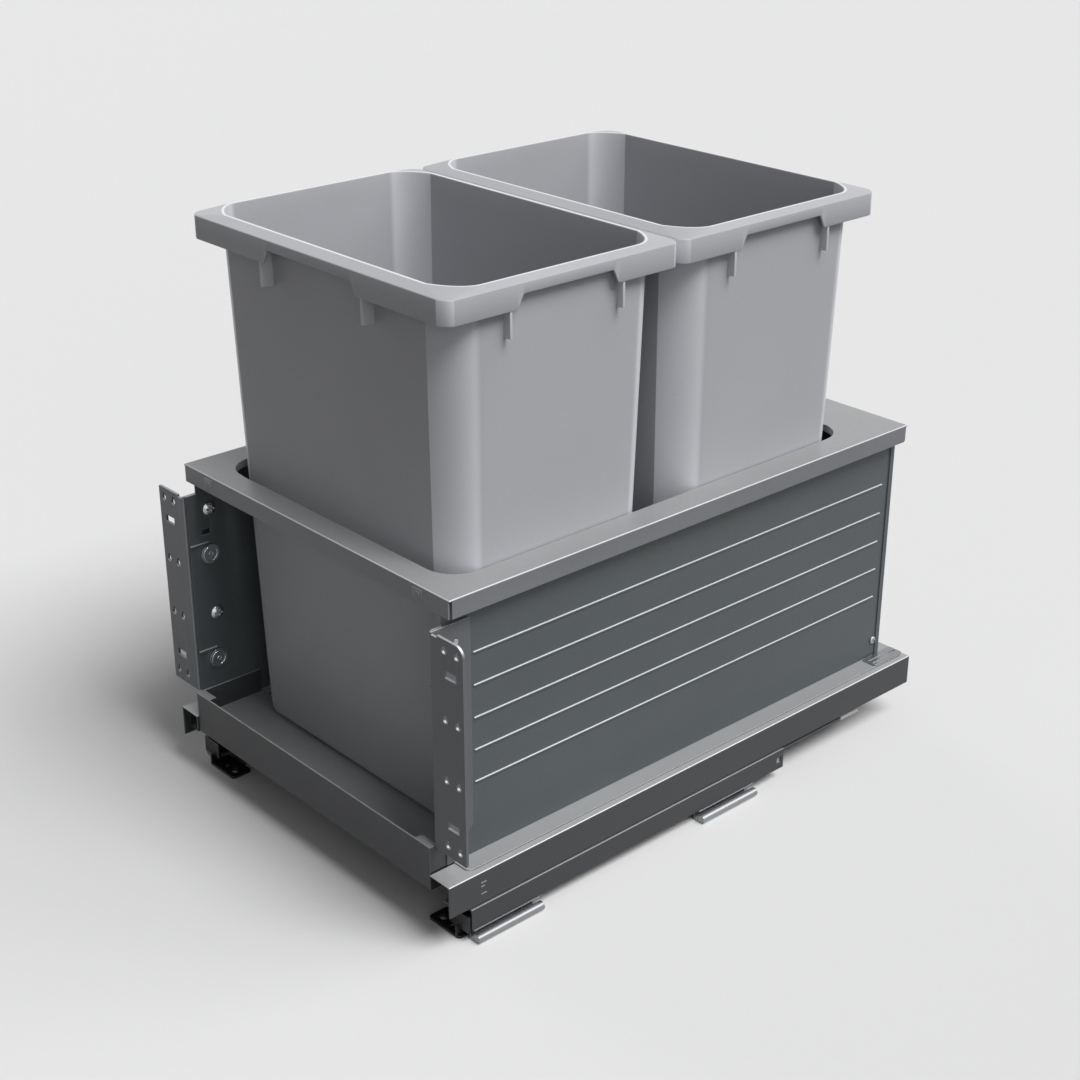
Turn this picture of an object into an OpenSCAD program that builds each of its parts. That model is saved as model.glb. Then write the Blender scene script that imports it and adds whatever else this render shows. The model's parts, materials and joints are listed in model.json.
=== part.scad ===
// Pull-out waste bin unit for a base cabinet: two lift-out bins in a sheet-metal
// frame that runs out on a pair of full-extension roller runners.
// Millimetres. +Z is up, the door side faces -Y, the origin is on the cabinet floor
// under the middle of the unit.

/* [Overall] */
// Length of the pull-out, front to back, over its rail covers
rail_len = 500; // [470:1:560]
// Width over the two door brackets, the clear width inside the cabinet
bracket_span = 362; // [340:1:420]
// Thickness of the folded steel sheet
sheet = 1.2; // [0.8:0.1:1.6]
// Running gap between parts that slide or roll past each other
run_gap = 0.3; // [0.2:0.05:0.5]

/* [Cabinet rail] */
// Height of the cabinet rails above the cabinet floor
foot_h = 10; // [8:0.5:16]
// Length of a cabinet rail
cab_rail_len = 324; // [280:1:360]
// Clear height between a middle rail's lower flange and the cabinet rail's lip
cab_lip_gap = 2.2; // [0.5:0.1:4]
// Width of a cabinet rail's floor
cab_rail_w = 21; // [18:0.5:24]
// Width of the lip along the top of a cabinet rail
cab_lip_w = 13; // [11:0.5:14]
// Distance from the front of the rail covers back to the cabinet rails
cab_setback = 19.5; // [12:0.5:24]
// Side of the square window near the back end of a cabinet rail
window_side = 4.6; // [3:0.1:6]
// Clear height between the cage stop and the middle rail above it
stop_gap = 0.7; // [0.3:0.1:3]
// Length of the cage stop
stop_len = 8; // [5:0.5:12]

/* [Cabinet fixings] */
// Thickness of the black foot plates
foot_t = 2; // [1.5:0.1:3]
// Reach of a foot plate from its inner edge to its upright web
foot_w = 34; // [30:0.5:40]
// Depth of a foot plate, front to back
foot_d = 18; // [16:0.5:24]
// Corner radius of a foot plate
foot_corner_r = 3; // [1:0.5:5]
// Clear height between the foot's upright nose and the middle rail above it
nose_gap = 1; // [0.5:0.1:6]
// Radius of the screw holes that fasten the unit to the cabinet floor
floor_hole_r = 2.2; // [1.5:0.1:3]
// End-to-end length of the slotted hole in a foot plate
foot_slot_len = 7; // [5:0.5:9]
// Spacing of the slotted and the round hole in a foot plate
foot_hole_step = 11; // [9:0.5:14]
// Radius of the small pilot hole in a foot plate
pilot_r = 1.2; // [0.8:0.1:1.8]
// Length of a mounting clip
clip_len = 61; // [40:1:80]
// Distance from the back of a cabinet rail to the rear clip
clip_back = 35.6; // [10:0.1:60]
// Radius of the rolled bead along a clip
bead_r = 3.4; // [2:0.1:4]
// Distance from a cabinet rail's outer face out to the middle of a clip's bead
bead_out = 2.2; // [0:0.1:5]
// Reach of a clip's foot leaf inwards from its web
clip_leaf_w = 26.7; // [24:0.1:34]
// Length of a clip's foot leaf
clip_leaf_len = 36; // [30:0.5:36]
// Spacing of the two screw holes in a clip's foot leaf
clip_hole_step = 24; // [14:0.5:26]
// Radius of a rail rivet's shank
rivet_r = 1.5; // [1:0.1:2]

/* [Runner] */
// Radius of a runner roller
roller_r = 5.35; // [5:0.05:5.6]
// Length of a runner roller
roller_len = 10; // [7:0.5:10.5]
// Rollers in each cage
rollers_per_cage = 4; // [2:1:6]
// Length of a roller cage
cage_len = 168; // [120:1:170]
// Distance from the cage stop forward to the roller cages
cage_stop_gap = 30; // [26:0.5:34]
// Thickness of a roller cage
cage_t = 1.5; // [1:0.1:2.5]
// Length of a middle rail
mid_len = 396; // [380:1:410]
// Thickness of a middle rail
mid_t = 1.5; // [1:0.1:1.8]
// Width of a middle rail
mid_w = 13.5; // [12.5:0.1:14.5]
// Distance from the front of the rail covers back to the middle rails
mid_setback = 22; // [20:0.5:26]
// Length of the plastic tip at the back of a middle rail
mid_tip_len = 22; // [10:0.5:30]
// Clear height between a middle rail's upper flange and the drawer rail's lip
drawer_lip_gap = 3.2; // [0.5:0.1:6]
// Distance from the outside of a rail cover to its side panel
panel_inset = 21.8; // [21:0.1:24]

/* [Pull-out base] */
// Height of a rail cover's outer side
cover_h = 25; // [23:0.5:30]
// Height of a rail cover's inner side
cover_inner_h = 12; // [6:0.5:16]
// Gap between a cabinet rail and the rail cover above it
rail_gap = 2.2; // [1.5:0.1:4]
// Height of the front lip
lip_h = 34.5; // [28:0.5:45]
// Height of the front lip above the base plate
lip_rise = 19.9; // [14:0.1:24]
// Length of the front lip's returns along the side panels
lip_return = 58; // [40:1:90]
// Distance from the front of the rail covers back to the front lip
lip_setback = 1.3; // [0.5:0.1:6]
// Width of the corner tabs and the lower fold of the front lip
lip_fold = 6; // [4:0.5:10]
// Length of the front lip's corner tabs
lip_tab_len = 16; // [8:0.5:24]
// Distance from the outside of a rail cover to the edge of the base plate on it
plate_inset = 5.5; // [4:0.1:6]
// Distance from the front of the rail covers back to the base plate on them
plate_setback = 22; // [18:0.5:30]
// Radius of the base plate's front corners
plate_corner_r = 5; // [3:0.5:6]

/* [Frame] */
// Height of the side panels
panel_h = 206.1; // [180:0.1:240]
// Distance from the front of the rail covers back to the top frame
frame_setback = 14; // [12:0.5:15]
// Distance from the back of the top frame to the back of the rail covers
frame_back = 16; // [12:0.5:30]
// Reach of the top frame outwards past a side panel
frame_overhang = 11.3; // [8:0.1:16]
// Width of the top frame beside the opening
frame_side = 22; // [20:0.1:30]
// Width of the top frame behind the opening
frame_rear = 46.7; // [40:0.1:60]
// Depth of the top frame's outer folds
frame_fold = 14; // [10:0.5:17]
// Open slit at the top frame's corners
frame_slit = 1.4; // [0.8:0.1:2.5]
// Width of the top frame in front of the opening
opening_setback = 18.6; // [16:0.1:20]
// Corner radius of the opening
opening_r = 25; // [18:0.5:27]
// Depth of the fold round the opening
opening_fold = 6; // [4:0.5:10]
// Width of the folds along a side panel's edges
panel_fold = 10; // [6:0.5:12]
// Raised beads on a side panel
bead_count = 5; // [3:1:6]
// Distance from the bottom of a side panel up to its lowest bead
bead_low = 56.5; // [40:0.1:70]
// Distance from the top of a side panel down to its highest bead
bead_high = 49.6; // [30:0.1:60]
// Radius of a bead's rounded back
panel_bead_r = 1.05; // [0.8:0.05:1.1]
// Height that a bead stands proud of its panel
bead_rise = 1; // [0.5:0.1:1.2]
// Distance from the front of a side panel to its beads
bead_front = 35.4; // [33:0.1:50]
// Distance from the back of a side panel to its beads
bead_back = 13; // [8:0.5:30]
// Width of the hem down the back edge of a side panel
hem_w = 5; // [3:0.5:7]

/* [Front brackets] */
// Width of a door bracket's flange
flange_w = 33.9; // [28:0.1:40]
// Distance from the lower edge of the top frame down to the door brackets
bracket_drop = 8.1; // [4:0.1:20]
// Thickness of a door bracket
bracket_t = 2; // [1.5:0.1:2.5]
// Depth of a door bracket's leg, front to back
leg_d = 32.8; // [30:0.1:33]
// Distance from the front of the rail covers back to the door brackets
bracket_setback = 4.7; // [4:0.1:5]
// Radius of the right door bracket's upper outer corner
bracket_corner_r = 8; // [2:0.5:8]
// Radius of the door brackets' other outer corners
bracket_edge_r = 1.5; // [0.5:0.1:3]
// Radius of the keyholes for the door's screws
door_hole_r = 2.5; // [1.5:0.1:3]
// Radius of a keyhole's narrow neck
door_neck_r = 1.2; // [0.8:0.1:1.4]
// Height from the middle of a keyhole up to the middle of its neck's round end
door_neck_rise = 3.3; // [2.5:0.1:4]
// Spacing of the two columns of door screw holes
door_hole_step = 12.7; // [11:0.1:14]
// Distance from the outer edge of a door bracket to the outer column
door_hole_edge = 6.6; // [5:0.1:8]
// Distance from a bracket's top and bottom to the outer rows of door screw holes
door_row_edge = 8.45; // [6:0.05:12]
// Height of the inner rows of door screw holes, lower to higher
door_rows_inner = 46; // [36:0.5:60]
// Width of the rectangular slots in a door bracket
door_slot_w = 11.5; // [6:0.5:12]
// Height of the rectangular slots in a door bracket
door_slot_h = 5.6; // [5:0.1:10]
// Distance from a bracket's top and bottom to the middle of each rectangular slot
door_slot_edge = 25.15; // [20:0.05:32]
// Height adjustment of a door bracket, up and down from the middle
adjust = 2; // [1:0.1:2.5]

/* [Adjusters] */
// Radius of an eccentric adjuster's disc
cam_r = 8; // [6:0.1:9]
// Thickness of an eccentric adjuster's disc
cam_t = 2; // [1.5:0.1:3]
// Radius of the journal that carries an adjuster in its side panel
journal_r = 4.5; // [4:0.1:6]
// Running clearance round an adjuster's journal
journal_play = 0.05; // [0.02:0.01:0.1]
// Throw of an adjuster's eccentric pin
cam_throw = 3.2; // [3:0.1:3.6]
// Radius of an adjuster's eccentric pin
cam_pin_r = 1.2; // [0.8:0.05:1.25]
// Radius of the drive socket in an adjuster
socket_r = 2.2; // [1.5:0.1:3]
// Distance from the top of a bracket down to its upper adjuster
upper_cam_drop = 51; // [44:0.1:56]
// Height of the lower adjuster above the bottom of its bracket
lower_cam_z = 24.2; // [20:0.1:30]
// Distance from the front of a bracket to its adjusters
cam_y = 18.3; // [16:0.1:20]
// Distance from the top of a bracket down to its upper screw
upper_screw_drop = 14.1; // [12:0.1:20]
// Height of the lower bracket screw above the bottom of its bracket
lower_screw_z = 63.1; // [56:0.1:70]
// Distance from the front of a bracket to its screws
screw_y = 20.8; // [18:0.1:24]
// Radius of a bracket screw's shank
screw_r = 2; // [1.5:0.1:2.5]
// Radius of a bracket screw's head
screw_head_r = 5.6; // [4:0.05:6]
// Height of a bracket screw's head
screw_head_h = 3.4; // [2:0.1:3.5]

/* [Bins] */
// Gap between the rims of the two bins
bin_gap = 0.8; // [0.5:0.1:4]
// Width of a bin's rim beside its mouth
rim_side = 8.3; // [7:0.1:14]
// Width of a bin's rim before and behind its mouth
rim_end = 11.8; // [9:0.1:16]
// Height of a bin
bin_h = 402.1; // [360:0.1:450]
// Distance from the front of the top frame to the front bin's rim
bin_setback = 12.8; // [11:0.1:14]
// Wall thickness of a bin
bin_wall = 2.2; // [1.8:0.1:3]
// Width of the two mouths that the top frame's opening doesn't show
opening_tuck = 0.4; // [0:0.1:4]
// Length that the top frame's opening has to spare over the bins' mouths
opening_slack = 14.3; // [12:0.1:24]
// Draft of a bin's sides from top to bottom, each side
bin_draft = 9.4; // [8.4:0.1:14]
// Corner radius of a bin's body
bin_corner_r = 26; // [20:0.5:30]
// Corner radius of a bin's rim
rim_corner_r = 12; // [6:0.5:16]
// Depth of the skirt below a bin's rim
skirt_h = 20.1; // [16:0.1:26]
// Height of the grip cut-outs in a bin's skirt
grip_h = 9.6; // [5:0.1:12]
// Width of the grip cut-out at the front and back of a bin
grip_w_front = 103; // [80:1:130]
// Width of the grip cut-out at the sides of a bin
grip_w_side = 88; // [70:1:110]
// Run of a grip cut-out's slanted ends
grip_slant = 4.5; // [3:0.5:9]
// Thickness of the ribs under a bin's rim
rib_w = 2; // [1.5:0.1:4]
// How far the ribs' outer edges stay inside the skirt's outside
rib_inset = 0.7; // [0.4:0.1:1.5]
// Length of the ribs below the skirt
rib_drop = 19; // [10:0.5:26]
// Radius of the turn between a bin's sides and its floor
bin_foot_r = 7; // [4:0.5:10]

/* [Hidden] */
$fn = 48;

// Overrun of every cut past the face that it leaves
cut = 0.5;

// Crown radius of a screw head, and its recess's width and length, as shares of its radius
crown_share = 1.4;
recess_shares = [0.25, 1.1];

// Places across the right-hand side, from the middle of the unit outwards
bracket_x1 = bracket_span / 2;
leg_gap = 0.2;
leg_x0 = bracket_x1 - flange_w;
leg_x1 = leg_x0 + bracket_t;
panel_x1 = leg_x0 - leg_gap;
panel_x0 = panel_x1 - sheet;
side_x = panel_x0 + panel_inset;
cab_floor_x = side_x - cab_rail_w;
cab_lip_x = side_x - cab_lip_w;
mid_inset = 3.5;
mid_x1 = side_x - mid_inset;
mid_x0 = mid_x1 - mid_w;
roller_inset = 1;
roller_x1 = mid_x1 - roller_inset;
roller_x0 = roller_x1 - roller_len;
cage_edge = 1.5;
plate_x1 = side_x - plate_inset;
cover_x0 = panel_x0 + leg_gap;
frame_w = 2 * (panel_x0 + frame_overhang);
opening_w = frame_w - 2 * frame_side;
mouth_w = opening_w + opening_tuck;
bin_w = mouth_w + 2 * rim_side;

// Heights above the cabinet floor
cab_z0 = foot_h;
lower_roller_z = cab_z0 + sheet + run_gap + roller_r;
mid_z0 = lower_roller_z + roller_r + run_gap;
cab_z1 = mid_z0 + mid_t + cab_lip_gap + sheet;
nose_z1 = mid_z0 - nose_gap;
stop_z1 = mid_z0 - stop_gap;
cover_z0 = cab_z1 + rail_gap;
cover_z1 = cover_z0 + cover_h;
upper_roller_z = cover_z1 - 2 * sheet - run_gap - roller_r;
mid_z1 = upper_roller_z - roller_r - run_gap;
drawer_z1 = cover_z1 - sheet;
drawer_z0 = mid_z1 - mid_t - drawer_lip_gap - sheet;
plate_z1 = cover_z1 + sheet;
lip_z1 = plate_z1 + lip_rise;
lip_z0 = lip_z1 - lip_h;
panel_z1 = plate_z1 + panel_h;
frame_z1 = panel_z1 + sheet;
frame_z0 = frame_z1 - frame_fold;
bracket_z0 = lip_z1;
bracket_z1 = frame_z0 - bracket_drop;
bracket_h = bracket_z1 - bracket_z0;
bead_z = plate_z1 + bead_low;
bead_step = (panel_z1 - bead_high - bead_z) / (bead_count - 1);
bin_z0 = plate_z1 + run_gap;
bin_z1 = bin_z0 + bin_h;

// Places along the unit, front to back
front_y = -rail_len / 2;
back_y = rail_len / 2;
cab_y0 = front_y + cab_setback;
cab_y1 = cab_y0 + cab_rail_len;
mid_y0 = front_y + mid_setback;
mid_y1 = mid_y0 + mid_len;
window_back = 5.5;
window_y = cab_y1 - window_back;
cage_y0 = window_y - stop_len / 2 - cage_stop_gap - cage_len;
drawer_end = 5;
drawer_y0 = front_y + drawer_end;
drawer_y1 = back_y - drawer_end;
lip_y0 = front_y + lip_setback;
lip_y1 = lip_y0 + sheet;
plate_y0 = front_y + plate_setback;
plate_end = 1;
plate_y1 = back_y - plate_end;
frame_y0 = front_y + frame_setback;
frame_y1 = back_y - frame_back;
frame_len = frame_y1 - frame_y0;
opening_len = frame_len - opening_setback - frame_rear;
mouth_len = (opening_len - opening_slack - 2 * rim_end - bin_gap) / 2;
bin_len = mouth_len + 2 * rim_end;
bin_pitch = bin_len + bin_gap;
bracket_y0 = front_y + bracket_setback;
leg_y1 = bracket_y0 + leg_d;
panel_y0 = bracket_y0 + bracket_t;
ear_y1 = frame_y0 + sheet + leg_gap;
panel_y1 = frame_y1 - sheet - leg_gap;
rear_y1 = panel_y1 - sheet;
rear_y0 = rear_y1 - sheet;
front_bin_y = frame_y0 + bin_setback + bin_len / 2;
rear_bin_y = front_bin_y + bin_pitch;

// Places of the adjusters and screws on a bracket, as [y, z]
cam_places = [
  [bracket_y0 + cam_y, bracket_z0 + lower_cam_z],
  [bracket_y0 + cam_y, bracket_z1 - upper_cam_drop]
];
bracket_screw_places = [
  [bracket_y0 + screw_y, bracket_z0 + lower_screw_z],
  [bracket_y0 + screw_y, bracket_z1 - upper_screw_drop]
];

// Places of the feet, the clips and their rivets
foot_front = 4.5;
foot_side = 9.5;
foot_edge = 8;
foot_x1 = side_x - foot_side;
foot_x0 = foot_x1 - foot_w;
foot_y0 = cab_y0 - foot_front;
foot_hole_share = 0.38;
foot_hole_y = foot_y0 + foot_d * foot_hole_share;
foot_slot_x = foot_x0 + foot_edge;
foot_round_x = foot_slot_x + foot_hole_step;
tongue_w = 5;
tongue_len = 18;
clip_front = 2;
clip_web_inset = 4.5;
clip_hole_edge = 4.7;
clip_web_x1 = side_x - clip_web_inset;
clip_leaf_x0 = clip_web_x1 - clip_leaf_w;
clip_hole_x = clip_leaf_x0 + clip_hole_edge;
front_clip_y = cab_y0 + clip_front + clip_len / 2;
rear_clip_y = cab_y1 - clip_back - clip_len / 2;
rivet_head_r = 1.6 * rivet_r;
rivet_head_h = 1;
rivet_end = 10;
rivet_x = cab_floor_x + rivet_head_r + leg_gap;
clip_rivets = [rivet_end - clip_len / 2, clip_len / 2 - rivet_end];
tongue_rivet_y = front_clip_y + clip_rivets[0];
rivet_places = [
  for (middle_y = [front_clip_y, rear_clip_y], place = clip_rivets)
    middle_y + place
];

// Window and stop near the back end of a cabinet rail
window_z = (cab_z0 + cab_z1) / 2;
stop_w = 6;

// Rear screws, through the side panel and the rear panel's return
rear_return = 16;
rear_screw_rise = 15;
rear_screw_r = 2;
rear_screw_head_r = 3.2;
rear_screw_head_h = 2.4;
rear_screw_y = panel_y1 - hem_w - leg_gap - rear_screw_head_r;
rear_screw_z = plate_z1 + rear_screw_rise;

// Gauge window through a side panel, and the guides beside the adjusters
gauge_w = 7;
gauge_h = 4.4;
gauge_drop = 32.8;
gauge_back = 16.7;
gauge_y = bracket_y0 + gauge_back;
gauge_z = bracket_z1 - gauge_drop;
guide_t = 1.5;
guide_rise = 0.4;
cam_slot_play = 3.2;

// Relief notch beside the bend of a door bracket, as width and depth
bend_relief = [5.5, 1.8];

// Hook plates at the back of the base plate
hook_len = 36;
hook_slot_len = 8;
hook_slot_r = 0.9;
hook_slot_back = 6;
hook_corner_r = 2.5;
hook_back = 1.5;
hook_ridge_w = 1.2;
hook_ridge_h = 0.5;
hook_ridge_len = 20;
hook_ridge_step = 4.5;

// Top frame
opening_y = frame_y0 + opening_setback + opening_len / 2;
frame_rivet_side = 33;
frame_rivet_x = frame_w / 2 - frame_rivet_side;
frame_rivet_r = 1.6;

// Bins
rib_offset = 5.5;
slice_h = 0.01;
bin_fn = 32;

// Solid between two places on each axis
module slab(x, y, z) {
  translate([x[0], y[0], z[0]])
    cube([x[1] - x[0], y[1] - y[0], z[1] - z[0]]);
}

// Rectangle with round corners, centred on the origin
module rounded_rect(w, h, r) {
  square([w, h - 2 * r], center = true);
  square([w - 2 * r, h], center = true);
  for (sx = [-1, 1], sy = [-1, 1])
    translate([sx * (w / 2 - r), sy * (h / 2 - r)])
      circle(r);
}

// Slot outline with round ends, along the first axis and centred
module stadium(length, r) {
  square([length - 2 * r, 2 * r], center = true);
  for (s = [-1, 1])
    translate([s * (length / 2 - r), 0])
      circle(r);
}

// Stands an outline in the XZ plane up between two places on Y
module along_y(y) {
  translate([0, y[1], 0])
    rotate([90, 0, 0])
      linear_extrude(y[1] - y[0])
        children();
}

// Stands an outline in the YZ plane up between two places on X
module along_x(x) {
  translate([x[0], 0, 0])
    rotate([90, 0, 90])
      linear_extrude(x[1] - x[0])
        children();
}

// Left-hand copy of a right-hand part
module left() {
  mirror([1, 0, 0])
    children();
}

// Screw head with a crowned top and a cross recess, growing along +Z
module pan_head(r, h) {
  crown_r = r * crown_share;
  recess_w = r * recess_shares[0];
  recess_len = r * recess_shares[1];
  difference() {
    rotate_extrude()
      intersection() {
        square([r, h]);
        translate([0, h - crown_r])
          circle(crown_r, $fn = 96);
      }
    for (turn = [0, 90])
      rotate([0, 0, turn])
        translate([-recess_len / 2, -recess_w / 2, h / 2])
          cube([recess_len, recess_w, h]);
  }
}

// Cabinet rail: a channel open towards the middle of the unit, with a retaining lip
module cabinet_rail() {
  color("darkgray")
    difference() {
      union() {
        slab([cab_floor_x, side_x], [cab_y0, cab_y1], [cab_z0, cab_z0 + sheet]);
        slab([side_x - sheet, side_x], [cab_y0, cab_y1], [cab_z0, cab_z1]);
        slab([cab_lip_x, side_x], [cab_y0, cab_y1], [cab_z1 - sheet, cab_z1]);
      }
      slab([side_x - sheet - cut, side_x + cut],
           [window_y - window_side / 2, window_y + window_side / 2],
           [window_z - window_side / 2, window_z + window_side / 2]);
      for (place = rivet_places)
        translate([rivet_x, place, cab_z0 - cut])
          cylinder(r = rivet_r + journal_play, h = sheet + 2 * cut);
    }
}

// Black foot: a slotted plate on the cabinet floor, a short web, an upright nose that
// closes the front of the cabinet rail, and a tongue riveted to the rail's floor
module front_foot() {
  nose_y1 = cab_y0 - leg_gap;
  nose_y0 = nose_y1 - foot_t;
  web_y1 = cab_y0 + clip_front - leg_gap;
  tongue_x0 = cab_floor_x + leg_gap;
  tongue_z0 = cab_z0 + sheet;
  pilot_x = foot_slot_x - foot_edge / 2;
  pilot_y = foot_y0 + foot_d - foot_edge / 2;
  color("black")
    difference() {
      union() {
        translate([(foot_x0 + foot_x1) / 2, foot_y0 + foot_d / 2, 0])
          linear_extrude(foot_t)
            rounded_rect(foot_w, foot_d, foot_corner_r);
        slab([foot_x1 - 2 * foot_t, foot_x1 - foot_t], [foot_y0, web_y1], [0, cab_z0]);
        slab([tongue_x0, side_x - sheet], [nose_y0, nose_y1], [cab_z0 - foot_t, nose_z1]);
        slab([tongue_x0, tongue_x0 + tongue_w], [nose_y1, nose_y1 + tongue_len],
             [tongue_z0, tongue_z0 + foot_t]);
      }
      translate([foot_slot_x, foot_hole_y, -cut])
        linear_extrude(foot_t + 2 * cut)
          stadium(foot_slot_len, floor_hole_r);
      translate([foot_round_x, foot_hole_y, -cut])
        cylinder(r = floor_hole_r, h = foot_t + 2 * cut);
      translate([pilot_x, pilot_y, -cut])
        cylinder(r = pilot_r, h = foot_t + 2 * cut);
      translate([rivet_x, tongue_rivet_y, tongue_z0 - cut])
        cylinder(r = rivet_r + journal_play, h = foot_t + 2 * cut);
    }
}

// Mounting clip: a leaf under the whole width of the rail, a web, a leaf on the cabinet
// floor with the screw holes, and a rolled bead outside the rail
module mounting_clip(middle_y) {
  ends = [middle_y - clip_len / 2, middle_y + clip_len / 2];
  leaf = [middle_y - clip_leaf_len / 2, middle_y + clip_leaf_len / 2];
  bead_x = side_x + bead_out;
  color("gainsboro")
    difference() {
      union() {
        slab([cab_floor_x, side_x], ends, [cab_z0 - sheet, cab_z0]);
        slab([clip_web_x1 - sheet, clip_web_x1], ends, [0, cab_z0]);
        slab([clip_leaf_x0, clip_web_x1], leaf, [0, sheet]);
        slab([clip_web_x1 - sheet, bead_x], ends, [0, sheet]);
        translate([bead_x, ends[0], bead_r])
          rotate([-90, 0, 0])
            cylinder(r = bead_r, h = clip_len);
      }
      for (s = [-1, 1])
        translate([clip_hole_x, middle_y + s * clip_hole_step / 2, -cut])
          cylinder(r = floor_hole_r, h = sheet + 2 * cut);
      for (place = clip_rivets)
        translate([rivet_x, middle_y + place, cab_z0 - sheet - cut])
          cylinder(r = rivet_r + journal_play, h = sheet + 2 * cut);
    }
}

// Rivets that hold the foot's tongue and the clips to the cabinet rail's floor
module rail_rivets() {
  color("silver")
    for (i = [0 : len(rivet_places) - 1]) {
      head_z = cab_z0 + sheet + (i == 0 ? foot_t : 0);
      translate([rivet_x, rivet_places[i], cab_z0 - sheet])
        cylinder(r = rivet_r, h = head_z - cab_z0 + sheet + rivet_head_h);
      translate([rivet_x, rivet_places[i], head_z])
        cylinder(r = rivet_head_r, h = rivet_head_h);
    }
}

// Rubber stop at the back of the cabinet rail, seen through the rail's window
module cage_stop() {
  color("lightgray")
    slab([side_x - sheet - stop_w, side_x - sheet],
         [window_y - stop_len / 2, window_y + stop_len / 2],
         [cab_z0 + sheet, stop_z1]);
}

// Middle rail: a channel open outwards, between the lower and the upper rollers
module middle_rail() {
  color("dimgray") {
    union() {
      slab([mid_x0, mid_x0 + mid_t], [mid_y0, mid_y1], [mid_z0, mid_z1]);
      slab([mid_x0, mid_x1], [mid_y0, mid_y1], [mid_z0, mid_z0 + mid_t]);
      slab([mid_x0, mid_x1], [mid_y0, mid_y1], [mid_z1 - mid_t, mid_z1]);
    }
  }
}

// Plastic tip at the back of the middle rail, low enough to pass under the rail's lip
module middle_tip() {
  tip_z1 = cab_z1 - sheet - run_gap;
  tip_y1 = mid_y1 + mid_tip_len;
  color("gainsboro")
    union() {
      slab([mid_x0, mid_x1], [mid_y1, tip_y1], [mid_z0, tip_z1]);
      slab([mid_x0, mid_x0 + 2 * mid_t], [mid_y1, tip_y1], [mid_z0, mid_z1]);
    }
}

// Places of the rollers along a cage, and the cage's window round each
roller_step = cage_len / rollers_per_cage;
roller_places = [
  for (i = [0 : rollers_per_cage - 1])
    cage_y0 + roller_step * (i + 1 / 2)
];
module roller_cage(axis_z) {
  color("white")
    difference() {
      slab([roller_x0 - cage_edge, roller_x1 + cage_edge],
           [cage_y0, cage_y0 + cage_len],
           [axis_z - cage_t / 2, axis_z + cage_t / 2]);
      for (place = roller_places)
        slab([roller_x0 - leg_gap, roller_x1 + leg_gap],
             [place - roller_r - run_gap, place + roller_r + run_gap],
             [axis_z - cage_t / 2 - cut, axis_z + cage_t / 2 + cut]);
    }
}
module rollers(axis_z) {
  color("whitesmoke")
    for (place = roller_places)
      translate([roller_x0, place, axis_z])
        rotate([0, 90, 0])
          cylinder(r = roller_r, h = roller_len);
}

// Drawer rail: a channel open towards the middle, under the rail cover
module drawer_rail() {
  wall_x1 = side_x - sheet;
  color("darkgray")
    union() {
      slab([cover_x0 + sheet, wall_x1], [drawer_y0, drawer_y1], [drawer_z1 - sheet, drawer_z1]);
      slab([wall_x1 - sheet, wall_x1], [drawer_y0, drawer_y1], [drawer_z0, drawer_z1]);
      slab([cab_lip_x, wall_x1], [drawer_y0, drawer_y1], [drawer_z0, drawer_z0 + sheet]);
    }
}

// Rail cover: the long top and outer side that show along the bottom of the unit
module rail_cover() {
  color("silver")
    union() {
      slab([cover_x0, side_x], [front_y, back_y], [cover_z1 - sheet, cover_z1]);
      slab([side_x - sheet, side_x], [front_y, back_y], [cover_z0, cover_z1]);
      slab([cover_x0, cover_x0 + sheet], [front_y, back_y],
           [cover_z1 - cover_inner_h, cover_z1]);
    }
}

// Base plate: the floor under the bins, which laps over both rail covers
module base_plate() {
  narrow_w = 2 * (panel_x0 - sheet);
  lap_len = plate_y1 - plate_y0;
  color("silver")
    translate([0, 0, cover_z1])
      linear_extrude(sheet)
        union() {
          translate([0, plate_y0 + lap_len / 2])
            rounded_rect(2 * plate_x1, lap_len, plate_corner_r);
          translate([-narrow_w / 2, lip_y1])
            square([narrow_w, plate_y0 - lip_y1 + plate_corner_r]);
        }
}

// Front lip: the low upstand across the front, with returns along both side panels
module front_lip() {
  inner_x = panel_x0 - sheet;
  color("dimgray")
    union() {
      slab([-panel_x0, panel_x0], [lip_y0, lip_y1], [lip_z0, lip_z1]);
      slab([-inner_x, inner_x], [lip_y1, lip_y1 + lip_fold], [lip_z0, lip_z0 + sheet]);
      for (side = [0, 1])
        mirror([side, 0, 0]) {
          slab([inner_x, panel_x0], [lip_y1, lip_y1 + lip_return], [plate_z1, lip_z1]);
          slab([inner_x - lip_tab_len, inner_x], [lip_y1, lip_y1 + lip_fold],
               [lip_z1 - sheet, lip_z1]);
        }
    }
}

// Rear panel between the side panels, with returns that take the rear screws
module rear_panel() {
  color("gray")
    difference() {
      union() {
        slab([-panel_x0, panel_x0], [rear_y0, rear_y1], [plate_z1, panel_z1]);
        for (side = [0, 1])
          mirror([side, 0, 0])
            slab([panel_x0 - sheet, panel_x0], [rear_y0 - rear_return, rear_y0],
                 [plate_z1, panel_z1]);
      }
      for (side = [-1, 1])
        translate([side * (panel_x0 - sheet / 2), rear_screw_y, rear_screw_z])
          rotate([0, 90, 0])
            cylinder(r = rear_screw_r + journal_play, h = sheet + 2 * cut, center = true);
    }
}

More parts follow.
